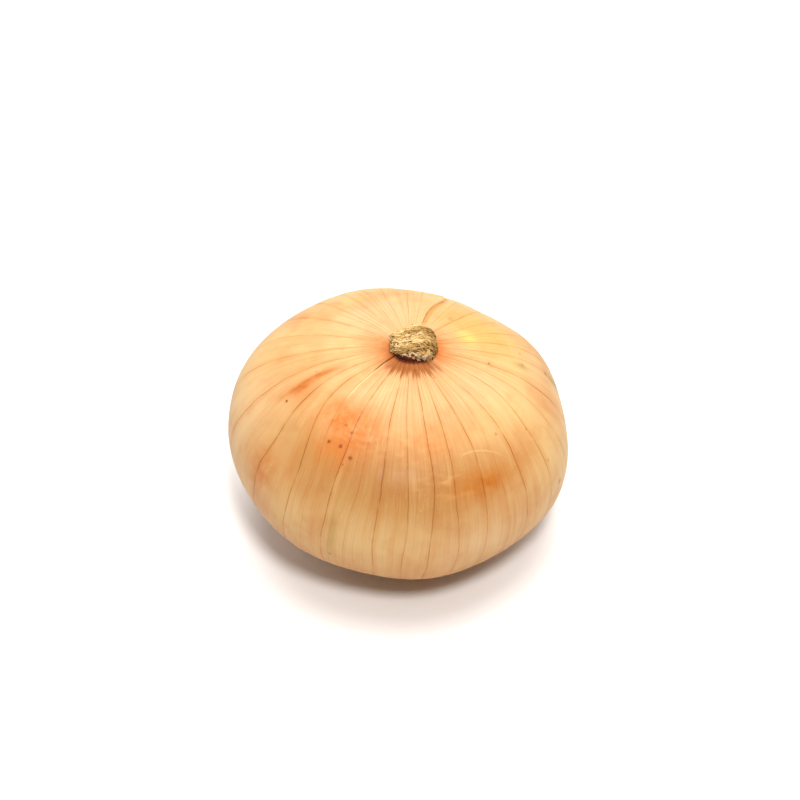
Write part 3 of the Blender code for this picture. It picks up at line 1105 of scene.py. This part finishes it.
# The tuft's inside is coloured darker than its fibres: painted shade for the depth between them
tuft_inside = fibre_material("neck_inside", (46, 24, 12), (88, 56, 28), (120, 84, 46), 1000, 0.1 * MM, 0.4)
inner_skin = fibre_material("neck_inner_skin", (34, 8, 4), (92, 40, 20), (160, 100, 54), 700, 0.12 * MM)

fibres_along_paths = fibre_tree()
crumbs_on_points = crumb_tree()
neck_fibres = grow("neck_fibres", tuft_fibres(), fibres_along_paths, {
    "Roughness": 0.36 * MM, "Roughness Scale": 1300.0, "Material": straw,
})
neck_fray = grow("neck_fray", frayed_fibres(), fibres_along_paths, {
    "Roughness": 0.30 * MM, "Roughness Scale": 1800.0, "Material": fray,
})
neck_curls = grow("neck_curls", cut_end_curls(), fibres_along_paths, {
    "Roughness": 0.18 * MM, "Roughness Scale": 2000.0, "Material": straw,
})
neck_cut_end = grow("neck_cut_end", cut_end_points(), crumbs_on_points, {
    "Smallest": 0.08 * MM, "Largest": 0.27 * MM, "Roughness": 0.20 * MM, "Roughness Scale": 2600.0,
    "Seed": 4, "Material": straw,
})
neck_core = make_tuft_core(tuft_inside)
neck_inner_skins = make_inner_skins(inner_skin)
for piece in (neck_fibres, neck_fray, neck_curls, neck_cut_end, neck_core, neck_inner_skins):
    keep(piece)


# ------------------------------------------------------------
# Root plate and roots.  The corky disc at the bottom that every scale and root grew from, worn
# uneven, with the dry stubs of its trimmed roots.  The onion rests on their tips.
# ------------------------------------------------------------

ROOT_COUNT = 420
ROOT_POINTS = 10
# Plate from the middle of its underside, round its edge and up into the bulb, in millimetres
PLATE_PROFILE = (
    (0.3, 1.05), (2, 0.95), (4.2, 0.70), (6.4, 0.50), (7.7, 0.38), (8.4, 0.75),
    (8.5, 1.35), (8.1, 2.2), (7, 3.2), (4, 3.6), (0.3, 3.7),
)
PLATE_MIDDLE = lean_and_place(np.array([[ROOT_RETURN, 0, -HALF_HEIGHT]]))[0] * [1, 1, 0]


def make_root_plate(material):
    radius, height, turn = turned_profile(PLATE_PROFILE, 60, 120)
    knobs = 0.10 * np.sin(7 * turn + 2.1 * radius) + 0.08 * np.sin(19 * turn - 3 * radius)
    knobs += 0.09 * np.sin(4.6 * radius) + 0.05 * np.sin(43 * turn + 1.7 * radius)
    knobs *= smooth_step(radius, 0.3, 2)
    edge = 0.16 * np.sin(3 * turn + 0.5) + 0.12 * np.sin(8 * turn) + 0.08 * np.sin(21 * turn)
    wide = radius + (edge - 0.2) * smooth_step(radius, 6, 8.2)
    rows = round_axis(wide, turn, height + knobs) * MM + PLATE_MIDDLE
    return ring_piece("root_plate", rows, material, 0.45 + 1.2 * knobs)


def root_paths():
    """Paths of the dry roots: short stubs under the plate, longer ones lying round its edge."""
    draw = np.random.default_rng(77)
    each = (ROOT_COUNT, 1)
    outer = draw.random(each) < 0.42
    azimuth = draw.uniform(0, math.tau, each)
    start = np.where(outer, draw.uniform(6.6, 8.2, each), 8 * draw.random(each) ** 0.6)
    length = np.where(outer, draw.uniform(1.2, 4.2, each), draw.uniform(0.4, 1.5, each))
    step = steps(ROOT_POINTS)
    radius = start + length * step * draw.uniform(0.45, 1, each)
    sweep = draw.normal(0, 1, each) * length * 0.5 * step ** 1.4
    sweep = sweep + wander(draw, ROOT_COUNT, ROOT_POINTS, 0.12, 4)
    angle = azimuth + sweep / np.maximum(radius, 1.2)
    low = draw.uniform(0.32, 0.60, each)
    high = np.where(outer, 1.15, 1.05)
    height = high + (low - high) * smooth_step(step, 0, 0.55)
    height = height + outer * draw.uniform(0, 0.7, each) * smooth_step(step, 0.5, 1)
    width = draw.uniform(0.10, 0.21, each) * (1 - 0.6 * step) * MM
    shade = np.clip(draw.beta(1.8, 1.8, each) + 0.25 * step - 0.1, 0, 1)
    return path_mesh("root_paths", round_axis(radius, angle, height) * MM + PLATE_MIDDLE, width, shade)


cork = fibre_material("root_cork", (86, 56, 34), (146, 108, 70), (188, 154, 112), 520, 0.15 * MM)
dry_root = fibre_material("dry_root", (78, 50, 28), (150, 112, 70), (196, 164, 118), 800, 0.05 * MM)
root_plate = make_root_plate(cork)
roots = grow("roots", root_paths(), fibres_along_paths, {
    "Roughness": 0.22 * MM, "Roughness Scale": 1100.0, "Material": dry_root,
})
for piece in (root_plate, roots):
    keep(piece)


# ------------------------------------------------------------
# Table and light.  A plain white table, seen as one with what is behind it.  A wide soft light
# hangs overhead, and a smaller one in front, above a dark front wall, throws a warm shadow.
# ------------------------------------------------------------

TABLE_SIZE = 4
CEILING = (0.75, 0.74, 0.73, 1)
SIDE_WALLS = (0.38, 0.36, 0.34, 1)
BACK_WALL = (1.1, 1.08, 1.06, 1)
FRONT_WALL = (0.02, 0.018, 0.015, 1)
LOW_DARK = (0, 0, 0, 1)
BACKDROP = (0.78, 0.77, 0.76, 1)  # what shows behind the table's far edge
ROOM_STRENGTH = 1.1
LIGHT_COLOUR = (1, 0.99, 0.97)
LIGHT_AIM = Vector((0, 0, 0.03))


def make_table():
    bm = bmesh.new()
    bmesh.ops.create_grid(bm, x_segments=1, y_segments=1, size=TABLE_SIZE / 2)
    mesh = bpy.data.meshes.new("table")
    bm.to_mesh(mesh)
    bm.free()
    material, _, _ = new_material("table_white", {
        "Base Color": (0.84, 0.825, 0.82, 1), "Roughness": 0.6, "Specular IOR Level": 0.2,
    })
    mesh.materials.append(material)
    show("table", mesh)


def make_area_light(name, place, size, power):
    data = bpy.data.lights.new(name, "AREA")
    data.shape = "DISK"
    data.size = size
    data.energy = power
    data.color = LIGHT_COLOUR
    light = show(name, data)
    light.location = place
    light.rotation_euler = (LIGHT_AIM - Vector(place)).to_track_quat("-Z", "Y").to_euler()


def make_world():
    world = bpy.data.worlds.new("soft_room")
    world.use_nodes = True
    tree = world.node_tree
    background = tree.nodes["Background"]
    direction = add_node(tree, "ShaderNodeTexCoord").outputs["Generated"]
    axes = add_node(tree, "ShaderNodeSeparateXYZ", {0: direction}).outputs
    walls = mixed(tree, soft_step(tree, axes["Y"], -0.2, -0.8), SIDE_WALLS, FRONT_WALL)
    walls = mixed(tree, soft_step(tree, axes["Y"], 0.1, 0.6), walls, BACK_WALL)
    walls = mixed(tree, soft_step(tree, axes["Z"], 0.35, 0.10), walls, LOW_DARK)
    not_ahead = times_plus(tree, soft_step(tree, axes["Y"], -0.55, -0.25), 0.85, 0.15)
    overhead = times(tree, soft_step(tree, axes["Z"], 0.50, 0.92), not_ahead)
    light = mixed(tree, overhead, walls, CEILING)
    seen = add_node(tree, "ShaderNodeLightPath").outputs["Is Camera Ray"]
    feed(tree, mixed(tree, seen, light, BACKDROP), background.inputs["Color"])
    background.inputs["Strength"].default_value = ROOM_STRENGTH
    bpy.context.scene.world = world


make_table()
make_world()
make_area_light("overhead", (0, 0.03, 0.65), 0.46, 4.2)
make_area_light("front_light", (0.055, -0.355, 0.58), 0.11, 3)


# ------------------------------------------------------------
# Camera.  It looks down on the onion from the front, from half a metre away, through a long
# lens.  The onion sits a little below the middle of the frame.
# ------------------------------------------------------------

CAMERA_ELEVATION = math.radians(44)
CAMERA_DISTANCE = 0.495
LENS = 83.5
ONION_MIDDLE = Vector((0, 0, 0.031))
AIM_ABOVE = 7.8 * MM
AIM_RIGHT = 0.3 * MM

lens = bpy.data.cameras.new("camera")
lens.lens = LENS
lens.sensor_width = 36
lens.clip_start = 0.01
lens.clip_end = 20
camera = show("camera", lens)
back = Vector((0, -math.cos(CAMERA_ELEVATION), math.sin(CAMERA_ELEVATION)))
up = Vector((0, math.sin(CAMERA_ELEVATION), math.cos(CAMERA_ELEVATION)))
camera.location = ONION_MIDDLE + back * CAMERA_DISTANCE
aim = ONION_MIDDLE + up * AIM_ABOVE + Vector((AIM_RIGHT, 0, 0))
camera.rotation_euler = (aim - camera.location).to_track_quat("-Z", "Y").to_euler()
bpy.context.scene.camera = camera
bpy.context.scene.view_settings.view_transform = "Standard"
bpy.context.scene.view_settings.look = "None"
